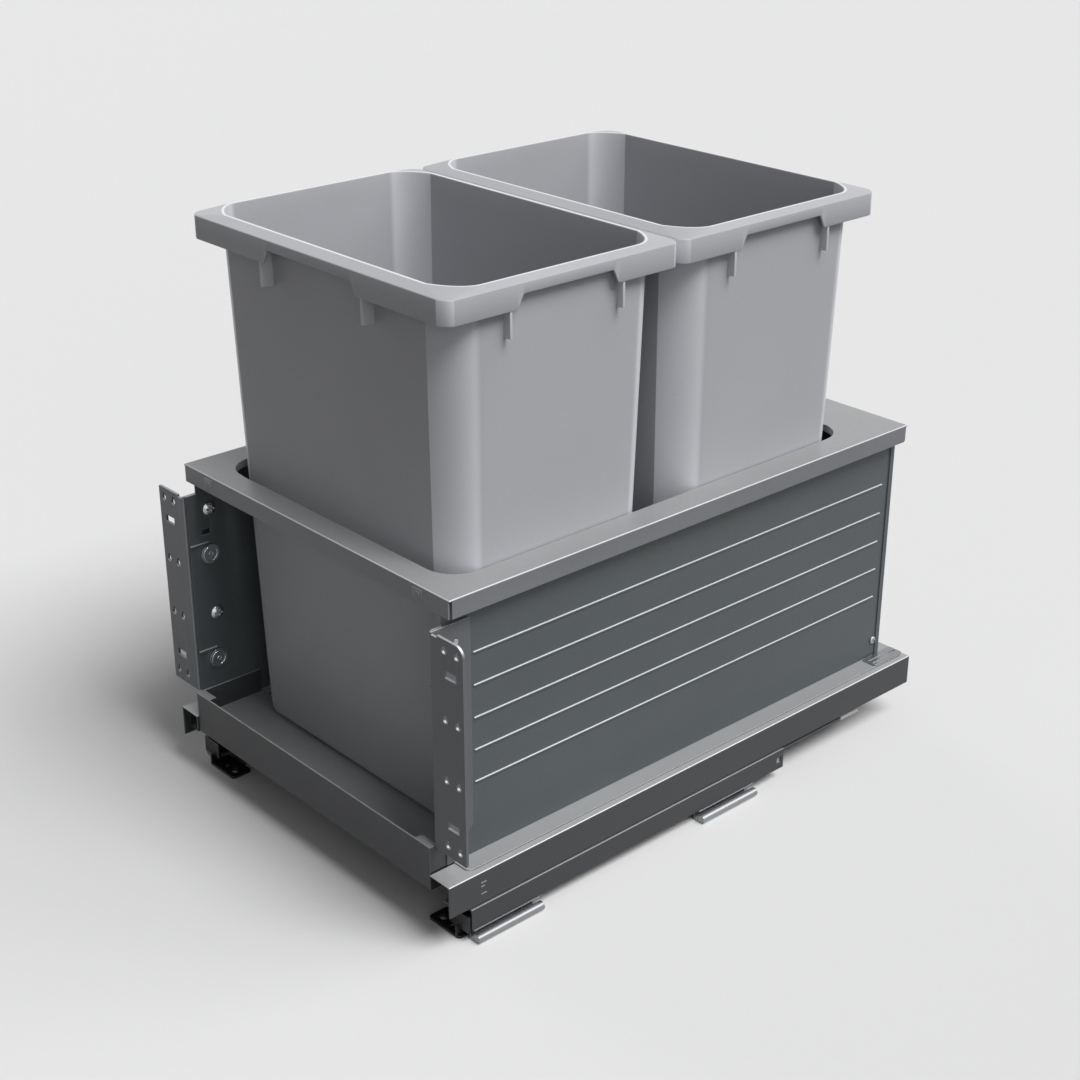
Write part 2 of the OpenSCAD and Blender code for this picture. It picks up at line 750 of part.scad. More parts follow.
// Side panel: a folded sheet with raised beads, adjuster bores and screw slots
module side_panel() {
  fold_x0 = panel_x0 - panel_fold;
  fold_y0 = lip_y1 + lip_return + leg_gap;
  bead_y0 = panel_y0 + bead_front;
  bead_y1 = panel_y1 - bead_back;
  top_fold_y1 = rear_y0 - rear_return - leg_gap;
  color("slategray")
    difference() {
      union() {
        slab([panel_x0, panel_x1], [ear_y1, panel_y1], [plate_z1, panel_z1]);
        slab([panel_x0, panel_x1], [panel_y0, ear_y1], [lip_z1, bracket_z1]);
        slab([fold_x0, panel_x0], [fold_y0, top_fold_y1], [plate_z1, plate_z1 + sheet]);
        slab([fold_x0, panel_x0], [ear_y1, top_fold_y1], [panel_z1 - sheet, panel_z1]);
        slab([fold_x0, panel_x0], [rear_y1, panel_y1], [plate_z1, panel_z1]);
        slab([panel_x1, panel_x1 + bead_rise], [panel_y1 - hem_w, panel_y1],
             [plate_z1, frame_z0 - leg_gap]);
        for (i = [0 : bead_count - 1])
          side_bead([bead_y0, bead_y1], bead_z + i * bead_step);
        for (place = cam_places)
          slab([panel_x0 - guide_t, panel_x0], [panel_y0, place[0]],
               [place[1] + cam_r + guide_rise, place[1] + cam_r + guide_rise + guide_t]);
      }
      for (place = cam_places)
        translate([panel_x0 - cut, place[0], place[1]])
          rotate([0, 90, 0])
            cylinder(r = journal_r + journal_play, h = sheet + 2 * cut);
      for (place = bracket_screw_places)
        along_x([panel_x0 - cut, panel_x1 + cut])
          translate([place[0], place[1]])
            rotate(90)
              stadium(2 * (screw_r + adjust) + 4 * run_gap, screw_r + run_gap);
      slab([panel_x0 - cut, panel_x1 + cut],
           [gauge_y - gauge_w / 2, gauge_y + gauge_w / 2],
           [gauge_z - gauge_h / 2, gauge_z + gauge_h / 2]);
      translate([panel_x0 - cut, rear_screw_y, rear_screw_z])
        rotate([0, 90, 0])
          cylinder(r = rear_screw_r + journal_play, h = sheet + 2 * cut);
    }
}
module side_bead(y, z) {
  axis_x = panel_x1 + bead_rise - panel_bead_r;
  translate([axis_x, y[0], z])
    rotate([-90, 0, 0])
      cylinder(r = panel_bead_r, h = y[1] - y[0]);
  for (end = y)
    translate([axis_x, end, z])
      sphere(panel_bead_r);
}

// Top frame: a sheet with folds all round and a round-cornered opening for the bins
module top_frame() {
  fold_end = sheet + frame_slit;
  color("silver")
    difference() {
      union() {
        slab([-frame_w / 2, frame_w / 2], [frame_y0, frame_y1], [frame_z1 - sheet, frame_z1]);
        for (end = [frame_y0, frame_y1 - sheet])
          slab([-frame_w / 2 + sheet, frame_w / 2 - sheet], [end, end + sheet],
               [frame_z0, frame_z1]);
        for (side = [0, 1])
          mirror([side, 0, 0])
            slab([frame_w / 2 - sheet, frame_w / 2],
                 [frame_y0 + fold_end, frame_y1 - fold_end],
                 [frame_z0, frame_z1]);
        translate([0, opening_y, frame_z1 - opening_fold])
          linear_extrude(opening_fold)
            rounded_rect(opening_w, opening_len, opening_r);
      }
      translate([0, opening_y, frame_z1 - opening_fold - cut])
        linear_extrude(opening_fold + 2 * cut)
          rounded_rect(opening_w - 2 * sheet, opening_len - 2 * sheet, opening_r - sheet);
      for (side = [-1, 1])
        translate([side * frame_rivet_x, frame_y0 + sheet / 2, frame_z1 - frame_fold / 2])
          rotate([90, 0, 0])
            cylinder(r = frame_rivet_r + journal_play, h = sheet + 2 * cut, center = true);
    }
}

// Rivets through the front fold of the top frame
module frame_rivets() {
  head_r = 1.6 * frame_rivet_r;
  head_h = sheet / 2;
  color("silver")
    for (side = [-1, 1])
      translate([side * frame_rivet_x, frame_y0, frame_z1 - frame_fold / 2])
        rotate([90, 0, 0]) {
          cylinder(r = head_r, h = head_h);
          translate([0, 0, -sheet])
            cylinder(r = frame_rivet_r, h = sheet);
        }
}

// Hook plate at the back of the base plate: a flat plate with a slot and two ridges
module hook_plate() {
  hook_x0 = panel_x1 + bead_rise + leg_gap;
  hook_w = plate_x1 - hook_x0;
  hook_y1 = plate_y1 - hook_back;
  hook_middle = [hook_x0 + hook_w / 2, hook_y1 - hook_len / 2];
  color("silver")
    difference() {
      union() {
        translate([hook_middle[0], hook_middle[1], plate_z1])
          linear_extrude(sheet)
            rounded_rect(hook_w, hook_len, hook_corner_r);
        for (s = [-1, 1])
          translate([hook_middle[0] + s * hook_ridge_step / 2, hook_middle[1] - hook_slot_back,
                     plate_z1])
            linear_extrude(sheet + hook_ridge_h)
              square([hook_ridge_w, hook_ridge_len], center = true);
      }
      translate([hook_middle[0], hook_y1 - hook_slot_back, plate_z1 - cut])
        linear_extrude(sheet + 2 * cut)
          rotate(90)
            stadium(hook_slot_len, hook_slot_r);
    }
}
module rear_screw() {
  head_x = panel_x1;
  color("gainsboro")
    union() {
      translate([head_x, rear_screw_y, rear_screw_z])
        rotate([0, 90, 0])
          pan_head(rear_screw_head_r, rear_screw_head_h);
      translate([panel_x0 - 2 * sheet, rear_screw_y, rear_screw_z])
        rotate([0, 90, 0])
          cylinder(r = rear_screw_r, h = head_x - panel_x0 + 2 * sheet);
    }
}

// Keyhole outline with its round middle at the origin and its neck upwards
module keyhole() {
  circle(door_hole_r);
  translate([-door_neck_r, 0])
    square([2 * door_neck_r, door_neck_rise]);
  translate([0, door_neck_rise])
    circle(door_neck_r);
}

// Outline of a door bracket's flange, its two outer corners rounded
module flange(top_r) {
  translate([leg_x0, bracket_z0])
    square([flange_w - top_r, bracket_h]);
  translate([leg_x0, bracket_z0])
    square([flange_w - bracket_edge_r, bracket_h - top_r]);
  translate([leg_x0, bracket_z0 + bracket_edge_r])
    square([flange_w, bracket_h - top_r - bracket_edge_r]);
  translate([bracket_x1 - bracket_edge_r, bracket_z0 + bracket_edge_r])
    circle(bracket_edge_r);
  translate([bracket_x1 - top_r, bracket_z1 - top_r])
    circle(top_r);
}

// Door bracket: a pierced flange for the door front and a leg along the side panel,
// with a relief notch at the top of the bend
module front_bracket(top_r) {
  outer_x = bracket_x1 - door_hole_edge;
  columns = [outer_x - door_hole_step, outer_x];
  middle_z = (bracket_z0 + bracket_z1) / 2;
  slot_x = (columns[0] + columns[1]) / 2;
  rows_outer = bracket_h - 2 * door_row_edge;
  slot_rows = bracket_h - 2 * door_slot_edge;
  through = [bracket_y0 - cut, bracket_y0 + bracket_t + cut];
  chamfer = 3 * bracket_t;
  color("gray")
    difference() {
      union() {
        along_y([bracket_y0, bracket_y0 + bracket_t])
          difference() {
            flange(top_r);
            translate([leg_x1, bracket_z1 - bend_relief[1]])
              square([bend_relief[0], bend_relief[1] + cut]);
          }
        along_x([leg_x0, leg_x1])
          polygon([
            [bracket_y0, bracket_z0], [leg_y1 - chamfer, bracket_z0],
            [leg_y1, bracket_z0 + chamfer], [leg_y1, bracket_z1],
            [bracket_y0, bracket_z1]
          ]);
      }
      for (x = columns, rows = [rows_outer, door_rows_inner], s = [-1, 1])
        along_y(through)
          translate([x, middle_z + s * rows / 2])
            keyhole();
      for (s = [-1, 1])
        slab([slot_x - door_slot_w / 2, slot_x + door_slot_w / 2], through,
             [middle_z + (s * slot_rows - door_slot_h) / 2,
              middle_z + (s * slot_rows + door_slot_h) / 2]);
      for (place = cam_places)
        along_x([leg_x0 - cut, leg_x1 + cut])
          translate([place[0] + cam_throw, place[1]])
            stadium(2 * cam_pin_r + cam_slot_play, cam_pin_r + run_gap);
      for (place = bracket_screw_places)
        translate([leg_x0 - cut, place[0], place[1]])
          rotate([0, 90, 0])
            cylinder(r = screw_r + journal_play, h = bracket_t + 2 * cut);
    }
}
// Screws that clamp a door bracket to its side panel, tapped into the bracket's leg
module bracket_screws() {
  head_x = panel_x0 - leg_gap;
  color("silver")
    for (place = bracket_screw_places)
      translate([head_x, place[0], place[1]]) {
        rotate([0, -90, 0])
          pan_head(screw_head_r, screw_head_h);
        rotate([0, 90, 0])
          cylinder(r = screw_r, h = leg_x1 - head_x);
      }
}

// Eccentric adjuster: a disc with a drive socket, a journal in the side panel
// and an eccentric pin in the bracket's slot
module cam(place) {
  disc_x1 = panel_x0 - leg_gap;
  disc_x0 = disc_x1 - cam_t;
  journal_x1 = panel_x1 + leg_gap / 2;
  color("lightgray")
    translate([0, place[0], place[1]])
      difference() {
        union() {
          translate([disc_x0, 0, 0])
            rotate([0, 90, 0])
              cylinder(r = cam_r, h = cam_t);
          translate([disc_x1, 0, 0])
            rotate([0, 90, 0])
              cylinder(r = journal_r, h = journal_x1 - disc_x1);
          translate([journal_x1, cam_throw, 0])
            rotate([0, 90, 0])
              cylinder(r = cam_pin_r, h = leg_x1 - journal_x1);
        }
        translate([disc_x0 - cut, 0, 0])
          rotate([0, 90, 0])
            cylinder(r = socket_r, h = cam_t + cut, $fn = 6);
      }
}

// Bin: a tapered tub with a round-cornered rim, a skirt with grips and short ribs.
// Half sizes of the body at a height, from the bin's floor at 0 to its rim at bin_h
function draft(z) = bin_draft * (bin_h - z) / bin_h;
function half_w(z) = mouth_w / 2 + bin_wall - draft(z);
function half_len(z) = mouth_len / 2 + bin_wall - draft(z);

// Thin slice of the tub at a height, drawn in by an inset
module tub_slice(z, inset) {
  corner_r = bin_corner_r - inset - draft(z) / 4;
  translate([0, 0, z])
    linear_extrude(slice_h)
      rounded_rect(2 * (half_w(z) - inset), 2 * (half_len(z) - inset), corner_r, $fn = bin_fn);
}

// Solid tub between two heights, with its foot turned in
module tub(z, inset) {
  turn = bin_foot_r - inset;
  middle_share = 0.3;
  hull() {
    tub_slice(z[0], inset + turn);
    tub_slice(z[0] + turn * middle_share, inset + turn * middle_share);
    tub_slice(z[0] + turn, inset);
    tub_slice(z[1] - slice_h, inset);
  }
}

// Trapezoid grip outline, wider at the skirt's lower edge
module grip_outline(w, z) {
  polygon([
    [-w / 2, z - cut], [w / 2, z - cut], [w / 2, z],
    [w / 2 - grip_slant, z + grip_h], [-w / 2 + grip_slant, z + grip_h],
    [-w / 2, z]
  ]);
}

// Rim and skirt, as a shallow tray turned upside down
module rim() {
  skirt_z0 = bin_h - skirt_h;
  difference() {
    translate([0, 0, skirt_z0])
      linear_extrude(skirt_h)
        rounded_rect(bin_w, bin_len, rim_corner_r);
    translate([0, 0, skirt_z0 - cut])
      linear_extrude(skirt_h - bin_wall + cut)
        rounded_rect(bin_w - 2 * bin_wall, bin_len - 2 * bin_wall, rim_corner_r - bin_wall);
    along_y([-bin_len, bin_len])
      grip_outline(grip_w_front, skirt_z0);
    along_x([-bin_w, bin_w])
      grip_outline(grip_w_side, skirt_z0);
  }
}

// Ribs beside the grips, standing out from the tub's walls to the skirt
module ribs() {
  rib_z = [bin_h - skirt_h - rib_drop, bin_h - bin_wall];
  front_x = grip_w_front / 2 + rib_offset;
  side_y = grip_w_side / 2 + rib_offset;
  face_y = half_len(rib_z[0]) - bin_wall / 2;
  face_x = half_w(rib_z[0]) - bin_wall / 2;
  for (s = [-1, 1], turn = [0, 180]) {
    rotate([0, 0, turn])
      slab([s * front_x - rib_w / 2, s * front_x + rib_w / 2],
           [face_y, bin_len / 2 - rib_inset], rib_z);
    rotate([0, 0, turn])
      slab([face_x, bin_w / 2 - rib_inset],
           [s * side_y - rib_w / 2, s * side_y + rib_w / 2], rib_z);
  }
}

// Whole bin at its place along the unit
module bin(middle_y) {
  color("lightsteelblue")
    translate([0, middle_y, bin_z0])
      difference() {
        union() {
          tub([0, bin_h], 0);
          rim();
          ribs();
        }
        tub([bin_wall, bin_h + cut], bin_wall);
      }
}

// Nodes
module right_cabinet_rail() { cabinet_rail(); }
module left_cabinet_rail() { left() cabinet_rail(); }
module right_front_foot() { front_foot(); }
module left_front_foot() { left() front_foot(); }
module right_front_clip() { mounting_clip(front_clip_y); }
module left_front_clip() { left() mounting_clip(front_clip_y); }
module right_rear_clip() { mounting_clip(rear_clip_y); }
module left_rear_clip() { left() mounting_clip(rear_clip_y); }
module right_rail_rivets() { rail_rivets(); }
module left_rail_rivets() { left() rail_rivets(); }
module right_cage_stop() { cage_stop(); }
module left_cage_stop() { left() cage_stop(); }
module right_middle_rail() { middle_rail(); }
module left_middle_rail() { left() middle_rail(); }
module right_middle_tip() { middle_tip(); }
module left_middle_tip() { left() middle_tip(); }
module right_lower_cage() { roller_cage(lower_roller_z); }
module left_lower_cage() { left() roller_cage(lower_roller_z); }
module right_upper_cage() { roller_cage(upper_roller_z); }
module left_upper_cage() { left() roller_cage(upper_roller_z); }
module right_lower_rollers() { rollers(lower_roller_z); }
module left_lower_rollers() { left() rollers(lower_roller_z); }
module right_upper_rollers() { rollers(upper_roller_z); }
module left_upper_rollers() { left() rollers(upper_roller_z); }
module right_drawer_rail() { drawer_rail(); }
module left_drawer_rail() { left() drawer_rail(); }
module right_rail_cover() { rail_cover(); }
module left_rail_cover() { left() rail_cover(); }
module right_side_panel() { side_panel(); }
module left_side_panel() { left() side_panel(); }
module right_hook_plate() { hook_plate(); }
module left_hook_plate() { left() hook_plate(); }
module right_rear_screw() { rear_screw(); }
module left_rear_screw() { left() rear_screw(); }
module right_front_bracket() { front_bracket(bracket_corner_r); }
module left_front_bracket() { left() front_bracket(bracket_edge_r); }
module right_bracket_screws() { bracket_screws(); }
module left_bracket_screws() { left() bracket_screws(); }
module right_upper_cam() { cam(cam_places[1]); }
module left_upper_cam() { left() cam(cam_places[1]); }
module right_lower_cam() { cam(cam_places[0]); }
module left_lower_cam() { left() cam(cam_places[0]); }
module front_bin() { bin(front_bin_y); }
module rear_bin() { bin(rear_bin_y); }

left_cabinet_rail();
right_cabinet_rail();
left_front_foot();
right_front_foot();
left_front_clip();
left_rear_clip();
right_front_clip();
right_rear_clip();
left_rail_rivets();
right_rail_rivets();
left_cage_stop();
right_cage_stop();
left_middle_rail();
right_middle_rail();
left_middle_tip();
right_middle_tip();
left_lower_cage();
right_lower_cage();
left_upper_cage();
right_upper_cage();
left_lower_rollers();
right_lower_rollers();
left_upper_rollers();
right_upper_rollers();
left_drawer_rail();
right_drawer_rail();
left_rail_cover();
right_rail_cover();
base_plate();
front_lip();
rear_panel();
left_side_panel();
right_side_panel();
top_frame();
frame_rivets();
left_hook_plate();
right_hook_plate();
left_rear_screw();
right_rear_screw();
left_front_bracket();
right_front_bracket();
left_bracket_screws();
right_bracket_screws();
left_upper_cam();
left_lower_cam();
right_upper_cam();
right_lower_cam();
front_bin();
rear_bin();
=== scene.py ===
import json
import math

import bmesh
import bpy
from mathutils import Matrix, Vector


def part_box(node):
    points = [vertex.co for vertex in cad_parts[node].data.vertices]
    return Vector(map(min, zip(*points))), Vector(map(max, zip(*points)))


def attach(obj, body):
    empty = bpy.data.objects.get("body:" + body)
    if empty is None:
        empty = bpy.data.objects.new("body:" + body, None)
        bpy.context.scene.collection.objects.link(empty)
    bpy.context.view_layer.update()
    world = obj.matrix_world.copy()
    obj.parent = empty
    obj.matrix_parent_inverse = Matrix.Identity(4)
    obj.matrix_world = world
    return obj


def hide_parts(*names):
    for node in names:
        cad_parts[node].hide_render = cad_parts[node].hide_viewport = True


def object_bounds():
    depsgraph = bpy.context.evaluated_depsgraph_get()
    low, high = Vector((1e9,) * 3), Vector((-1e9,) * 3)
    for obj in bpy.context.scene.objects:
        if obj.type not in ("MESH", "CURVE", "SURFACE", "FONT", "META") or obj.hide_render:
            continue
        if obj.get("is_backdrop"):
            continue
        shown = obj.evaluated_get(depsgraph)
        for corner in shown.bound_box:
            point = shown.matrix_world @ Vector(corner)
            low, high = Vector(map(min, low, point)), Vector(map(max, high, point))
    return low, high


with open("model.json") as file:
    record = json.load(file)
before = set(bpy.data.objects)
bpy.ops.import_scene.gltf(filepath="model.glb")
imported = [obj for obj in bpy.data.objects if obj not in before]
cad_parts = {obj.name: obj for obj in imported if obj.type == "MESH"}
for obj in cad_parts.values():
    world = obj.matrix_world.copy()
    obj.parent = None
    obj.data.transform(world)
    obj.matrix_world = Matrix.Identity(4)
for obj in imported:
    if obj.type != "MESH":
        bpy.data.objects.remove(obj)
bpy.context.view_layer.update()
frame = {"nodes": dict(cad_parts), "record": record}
MM = 0.001
SIDES = (("left", -1), ("right", 1))
BINS = ("front_bin", "rear_bin")


# Materials

def node_material(name):
    """A new material with a Principled shader, its node tree and the shader."""
    material = bpy.data.materials.new(name)
    material.use_nodes = True
    tree = material.node_tree
    tree.nodes.clear()
    out = tree.nodes.new("ShaderNodeOutputMaterial")
    shader = tree.nodes.new("ShaderNodeBsdfPrincipled")
    tree.links.new(shader.outputs["BSDF"], out.inputs["Surface"])
    return material, tree, shader


def noise(tree, coords, scale, detail, roughness):
    """The value of a noise texture at the coordinates."""
    node = tree.nodes.new("ShaderNodeTexNoise")
    node.inputs["Scale"].default_value = scale
    node.inputs["Detail"].default_value = detail
    node.inputs["Roughness"].default_value = roughness
    tree.links.new(coords, node.inputs["Vector"])
    return node.outputs["Fac"]


def remap(tree, value, source, target, smooth=False):
    """Maps a value from one range to another and holds it at the range's ends."""
    node = tree.nodes.new("ShaderNodeMapRange")
    if smooth:
        node.interpolation_type = "SMOOTHSTEP"
    for socket, number in zip(("From Min", "From Max", "To Min", "To Max"), (*source, *target)):
        node.inputs[socket].default_value = number
    tree.links.new(value, node.inputs["Value"])
    return node.outputs["Result"]


def calculate(tree, operation, *values, clamp=False):
    """The result of a maths operation on linked values."""
    node = tree.nodes.new("ShaderNodeMath")
    node.operation = operation
    node.use_clamp = clamp
    for value, socket in zip(values, node.inputs):
        tree.links.new(value, socket)
    return node.outputs[0]


# Scale, detail and roughness of the noise for clouds and smudges, and the last two for grain
CLOUDS = (9, 3, 0.5)
SMUDGES = (26, 4, 0.6)
GRAIN_DETAIL = (2, 0.6)
# Noise stays near 0.5, so this part of it is used
NOISE_RANGE = (0.3, 0.7)
# The product of two parts of a normal is 0 on a flat side and 0.5 halfway round a bend, and this
# part of it carries the painted highlight on bends and rounded corners
BEND_HIGHLIGHT_RANGE = (0.1, 0.4)
UPRIGHT_BENDS = (("X", "Y"),)
ALL_BENDS = (("X", "Y"), ("Y", "Z"), ("Z", "X"))
# The upward part of a normal over which the paler colour of upward faces, painted light, comes in
PAINTED_TOP_LIGHT_RANGE = (0.35, 0.85)
# In metres, as a shader takes it
BUMP_DEPTH = 0.00005


def around(tree, value, middle, reach):
    """Spreads a noise value evenly about a middle."""
    return remap(tree, value, NOISE_RANGE, (middle - reach, middle + reach))


def painted_bend_highlight(tree, normal, factor, gain, pairs):
    """Raises a colour factor where a surface faces between the two axes of a pair: a painted
    highlight on bent edges and rounded corners.
    """
    bend = None
    for one, two in pairs:
        product = calculate(tree, "MULTIPLY", normal.outputs[one], normal.outputs[two])
        size = calculate(tree, "ABSOLUTE", product)
        bend = size if bend is None else calculate(tree, "MAXIMUM", bend, size)
    raised = remap(tree, bend, BEND_HIGHLIGHT_RANGE, (1, 1 + gain), smooth=True)
    return calculate(tree, "MULTIPLY", factor, raised)


def surface(name, color, metallic, rough, cloud=0.05, grain=0.03, rough_spread=0.04,
            grain_scale=1400, stretch=(1, 1, 1), bump=0.1, specular=0.5,
            top=None, painted_top_range=PAINTED_TOP_LIGHT_RANGE, bend_highlight=0.0, bend_axes=UPRIGHT_BENDS):
    """A coated, plated or moulded surface: soft clouds and a fine grain in its colour, and grain in
    its roughness and bump. stretch draws the grain out, as on rolled steel. top is the paler colour
    of the faces that look up, painted light for the light that falls on them, and the range after it
    is the part of the normal's height over which it comes in. The gain for bent edges is how much
    paler its rounded corners and bent edges are, a painted highlight."""
    material, tree, shader = node_material(name)
    texture = tree.nodes.new("ShaderNodeTexCoord")
    coords = texture.outputs["Object"]
    mapping = tree.nodes.new("ShaderNodeMapping")
    mapping.inputs["Scale"].default_value = stretch
    tree.links.new(coords, mapping.inputs["Vector"])
    fine = noise(tree, mapping.outputs["Vector"], grain_scale, *GRAIN_DETAIL)
    clouds = around(tree, noise(tree, coords, *CLOUDS), 1, cloud)
    factor = calculate(tree, "MULTIPLY", clouds, around(tree, fine, 1, grain))
    normal = tree.nodes.new("ShaderNodeSeparateXYZ")
    tree.links.new(texture.outputs["Normal"], normal.inputs["Vector"])
    # Bends and rounded corners are made paler: a painted highlight
    if bend_highlight:
        factor = painted_bend_highlight(tree, normal, factor, bend_highlight, bend_axes)
    tint = tree.nodes.new("ShaderNodeVectorMath")
    tint.operation = "SCALE"
    tint.inputs[0].default_value = color
    # Upward faces take the paler top colour: painted light
    if top:
        mix = tree.nodes.new("ShaderNodeMix")
        mix.data_type = "RGBA"
        mix.inputs["A"].default_value = (*color, 1)
        mix.inputs["B"].default_value = (*top, 1)
        painted_top_mask = remap(tree, normal.outputs["Z"], painted_top_range, (0, 1), smooth=True)
        tree.links.new(painted_top_mask, mix.inputs["Factor"])
        tree.links.new(mix.outputs["Result"], tint.inputs[0])
    tree.links.new(factor, tint.inputs["Scale"])
    tree.links.new(tint.outputs["Vector"], shader.inputs["Base Color"])
    smudges = around(tree, noise(tree, coords, *SMUDGES), rough, rough_spread)
    tree.links.new(smudges, shader.inputs["Roughness"])
    relief = tree.nodes.new("ShaderNodeBump")
    relief.inputs["Strength"].default_value = bump
    relief.inputs["Distance"].default_value = BUMP_DEPTH
    tree.links.new(fine, relief.inputs["Height"])
    tree.links.new(relief.outputs["Normal"], shader.inputs["Normal"])
    shader.inputs["Metallic"].default_value = metallic
    shader.inputs["Specular IOR Level"].default_value = specular
    return material


COAT_TINT = (0.95, 0.985, 1.06)
COAT_PAINTED_TOP_TINT = (0.98, 1.0, 1.02)


def coated(name, side, top, bend_highlight=1.0, tint=COAT_TINT):
    """Silver-grey coated sheet, with the grey of its upright faces, the paler grey of the faces that
    look up, which is painted light, and how much paler its bent edges are, which is a painted
    highlight."""
    return surface(name, tuple(side * share for share in tint), metallic=0.12, rough=0.38,
                   grain_scale=500, bump=0.03, specular=0.35, bend_highlight=bend_highlight, bend_axes=ALL_BENDS,
                   top=tuple(top * share for share in COAT_PAINTED_TOP_TINT))


ROLLED = {"stretch": (1, 0.03, 1), "bump": 0.2, "cloud": 0.08}
MOULDED = {"specular": 0.3, "cloud": 0.03, "grain": 0.02, "rough_spread": 0.03,
           "grain_scale": 900, "bump": 0.04}
# The record's slots, and the finishes that are shades of them
MATERIALS = {
    # In each coated finish the second grey is painted light on upward faces, and the bends carry a
    # painted highlight
    "silver_coat": coated("coated_sheet", 0.21, 0.35),
    "coated_panel": coated("coated_panel", 0.112, 0.45, 0.5, (0.88, 1.0, 1.05)),
    "coated_bracket": coated("coated_bracket", 0.142, 0.45),
    "coated_base": coated("coated_base", 0.20, 0.37),
    "coated_cover": coated("coated_cover", 0.060, 0.42),
    "coated_lip": coated("coated_lip", 0.066, 0.42),
    # The rails' upward faces take a much paler top colour: painted light
    "rail_steel": surface("rail_steel", (0.047, 0.049, 0.052), 0.3, 0.34,
                          top=(0.3, 0.31, 0.32), **ROLLED),
    "black_foot": surface("black_foot", (0.012, 0.012, 0.013), 0.1, 0.30, cloud=0.1),
    "zinc_plate": surface("zinc_plate", (0.31, 0.32, 0.33), 0.8, 0.26,
                          cloud=0.12, rough_spread=0.07),
    "rubber_stop": surface("rubber_stop", (0.40, 0.40, 0.40), 0.0, 0.7,
                           grain_scale=900, bump=0.3),
    "pale_plastic": surface("pale_plastic", (0.62, 0.62, 0.60), 0.0, 0.45, grain_scale=1100),
    "bright_screw": surface("bright_screw", (0.42, 0.43, 0.45), 0.9, 0.24,
                            cloud=0.1, rough_spread=0.07),
    # Bin faces that look nearly straight up, such as the flat band round the mouth, get a near-white
    # top colour: a painted highlight. The upright corners are made paler too: a painted highlight
    "bin_plastic": surface("bin_plastic", (0.463, 0.47, 0.495), 0.0, 0.42, bend_highlight=0.5,
                           top=(0.84, 0.845, 0.855), painted_top_range=(0.964, 0.99), **MOULDED),
    # The ribs are the bins' plastic made paler: painted light on ribs that sit in the skirt's shade
    "rib_plastic_painted_light": surface("rib_plastic_painted_light", (0.66, 0.67, 0.69), 0.0, 0.42, **MOULDED),
}
# Nodes with a finish other than their slot's own
FINISH = {"base_plate": "coated_base", "front_lip": "coated_lip", "rear_panel": "coated_panel",
          "frame_rivets": "silver_coat"}
for side, _ in SIDES:
    FINISH.update({side + "_side_panel": "coated_panel", side + "_front_bracket": "coated_bracket",
                   side + "_rail_cover": "coated_cover"})
slot_of = {row["node"]: row["material_slot"] for row in frame["record"]["subparts"]}
bodies = frame["record"]["behaviour"]["bodies"]
body_of = {node: body for body, nodes in bodies.items() for node in nodes}


# Mesh helpers

SMOOTH_BELOW = math.radians(35)


def add_object(name, bm, slot, body, sharp=SMOOTH_BELOW, finish=None):
    """Makes an object of a bmesh, with smooth faces and sharp edges, riding on a CAD body."""
    mesh = bpy.data.meshes.new(name)
    bm.to_mesh(mesh)
    bm.free()
    for polygon in mesh.polygons:
        polygon.use_smooth = True
    creases = [edge.index for edge in mesh.edges if edge.use_edge_sharp]
    mesh.set_sharp_from_angle(angle=sharp)
    for index in creases:
        mesh.edges[index].use_edge_sharp = True
    obj = bpy.data.objects.new(name, mesh)
    bpy.context.scene.collection.objects.link(obj)
    mesh.materials.append(MATERIALS[finish or slot])
    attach(obj, body)
    return obj


def ease_edges(bm, edges, ease):
    """Rounds edges by a width in millimetres."""
    bmesh.ops.bevel(bm, geom=list(edges), offset=ease * MM, segments=2, profile=0.5,
                    affect="EDGES")


def block(bm, low, high, ease):
    """A closed block between two corners in millimetres, with eased edges."""
    made = bmesh.ops.create_cube(bm, size=1)["verts"]
    low, high = Vector(low) * MM, Vector(high) * MM
    for v in made:
        v.co = Vector([(low[i] + high[i]) / 2 + v.co[i] * (high[i] - low[i]) for i in range(3)])
    ease_edges(bm, {edge for v in made for edge in v.link_edges}, ease)


def lathe(bm, centre, axis, profile, steps=40):
    """Turns a profile of (radius, distance along the axis) in millimetres into a closed solid."""
    axis = Vector(axis).normalized()
    side = axis.orthogonal().normalized()
    other = axis.cross(side)
    centre = Vector(centre) * MM
    rings = []
    for radius, along in profile:
        ring = []
        for i in range(steps if radius else 1):
            t = 2 * math.pi * i / steps
            out = (side * math.cos(t) + other * math.sin(t)) * radius
            ring.append(bm.verts.new(centre + (axis * along + out) * MM))
        rings.append(ring)
    for low, high in zip(rings, rings[1:]):
        for i in range(steps):
            j = (i + 1) % steps
            if len(low) == 1:
                bm.faces.new((low[0], high[j], high[i]))
            elif len(high) == 1:
                bm.faces.new((low[i], low[j], high[0]))
            else:
                bm.faces.new((low[i], low[j], high[j], high[i]))
    bmesh.ops.recalc_face_normals(bm, faces=bm.faces)


# Bins, in millimetres from the middle of a bin's floor

BIN_H = 402.1
WALL = 2.2
# Half width and half length of the mouth's inside and of the rim's outside
MOUTH = (135.2, 91.5)
RIM = (143.5, 103.3)
RIM_CORNER = 9
RIM_DROP = 3
BODY_CORNER = 26
# How far in the walls lie at the floor, and the share of that by which the corners shrink
DRAFT = 9.4
CORNER_DRAFT = 0.25
FOOT = 7
FOOT_STEPS = 5
WALL_HEIGHTS = (60, 140, 220, 300, 360, 390)
SKIRT_H = 20.1
GRIP_H = 9.6
GRIP_HALF = {"x": 51.5, "y": 44}
# A grip's end slants over a length, with an ease at both ends, and this share of it is straight
GRIP_SLANT = 4.5
GRIP_EASE = 0.4
GRIP_STRAIGHT = 0.65
